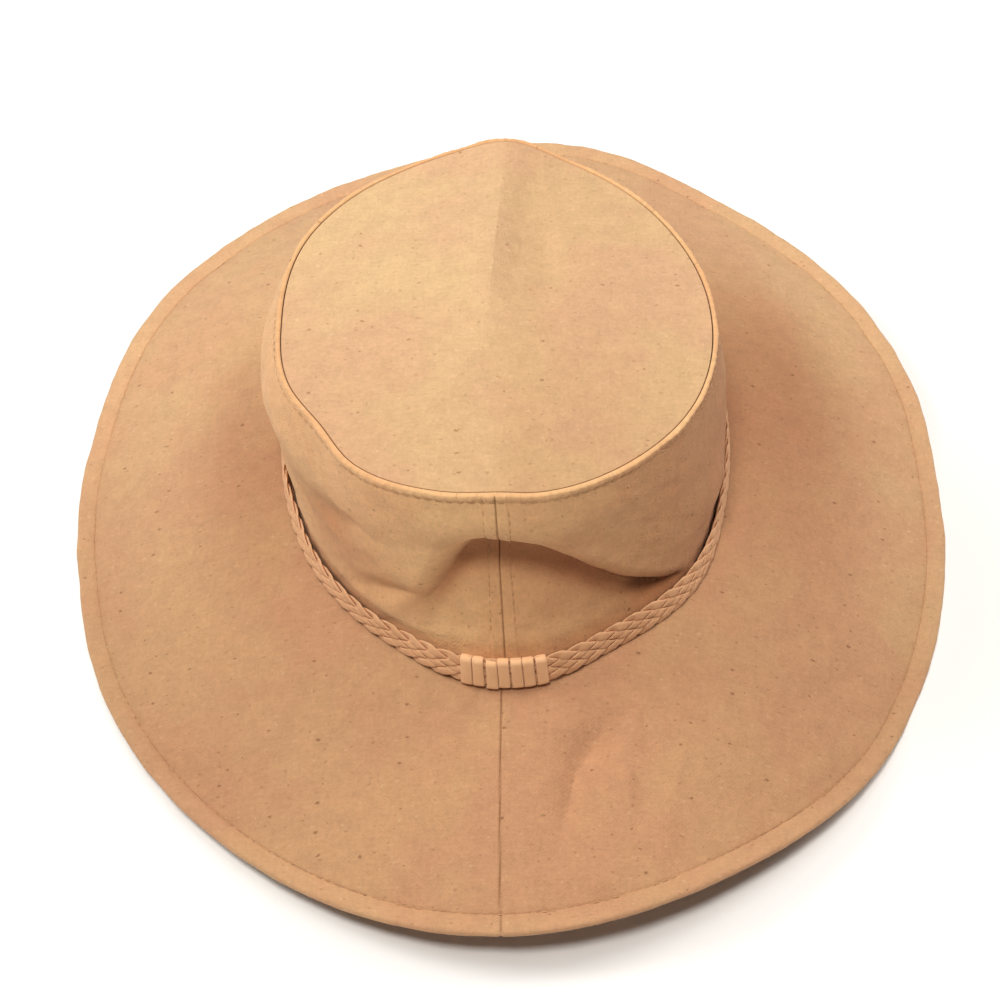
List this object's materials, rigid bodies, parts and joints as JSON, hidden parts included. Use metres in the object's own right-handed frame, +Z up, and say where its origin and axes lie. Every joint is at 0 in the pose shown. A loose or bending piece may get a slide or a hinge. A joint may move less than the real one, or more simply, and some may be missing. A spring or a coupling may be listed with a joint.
{
  "type": "floppy hat",
  "caption": "Floppy wide-brimmed sun hat of tan cotton: seamed oval crown with soft dents, drooping two-ply brim and a flat leather plait with a wound keeper.",
  "frame": {"origin": "on the table, under the middle of the brim's outline in plan", "axes": "+Z up, +Y along the hat's long axis away from the seam and the wound keeper, +X to the right as the picture shows it"},
  "size_m": [0.3362, 0.3876, 0.1292],
  "materials": {
    "crown_tip": "matt woven cotton with slubs and flecks",
    "crown_wall": "matt woven cotton with slubs and flecks",
    "brim": "matt woven cotton, two plies, topstitched",
    "plait_band": "matt tan leather, flat plait",
    "keeper_lace": "matt tan leather lace"
  },
  "bodies": {
    "root": {"crown_tip": "crown_tip", "crown_wall": "crown_wall", "brim": "brim", "plait_band": "plait_band", "keeper_lace": "keeper_lace"}
  },
  "joints": []
}
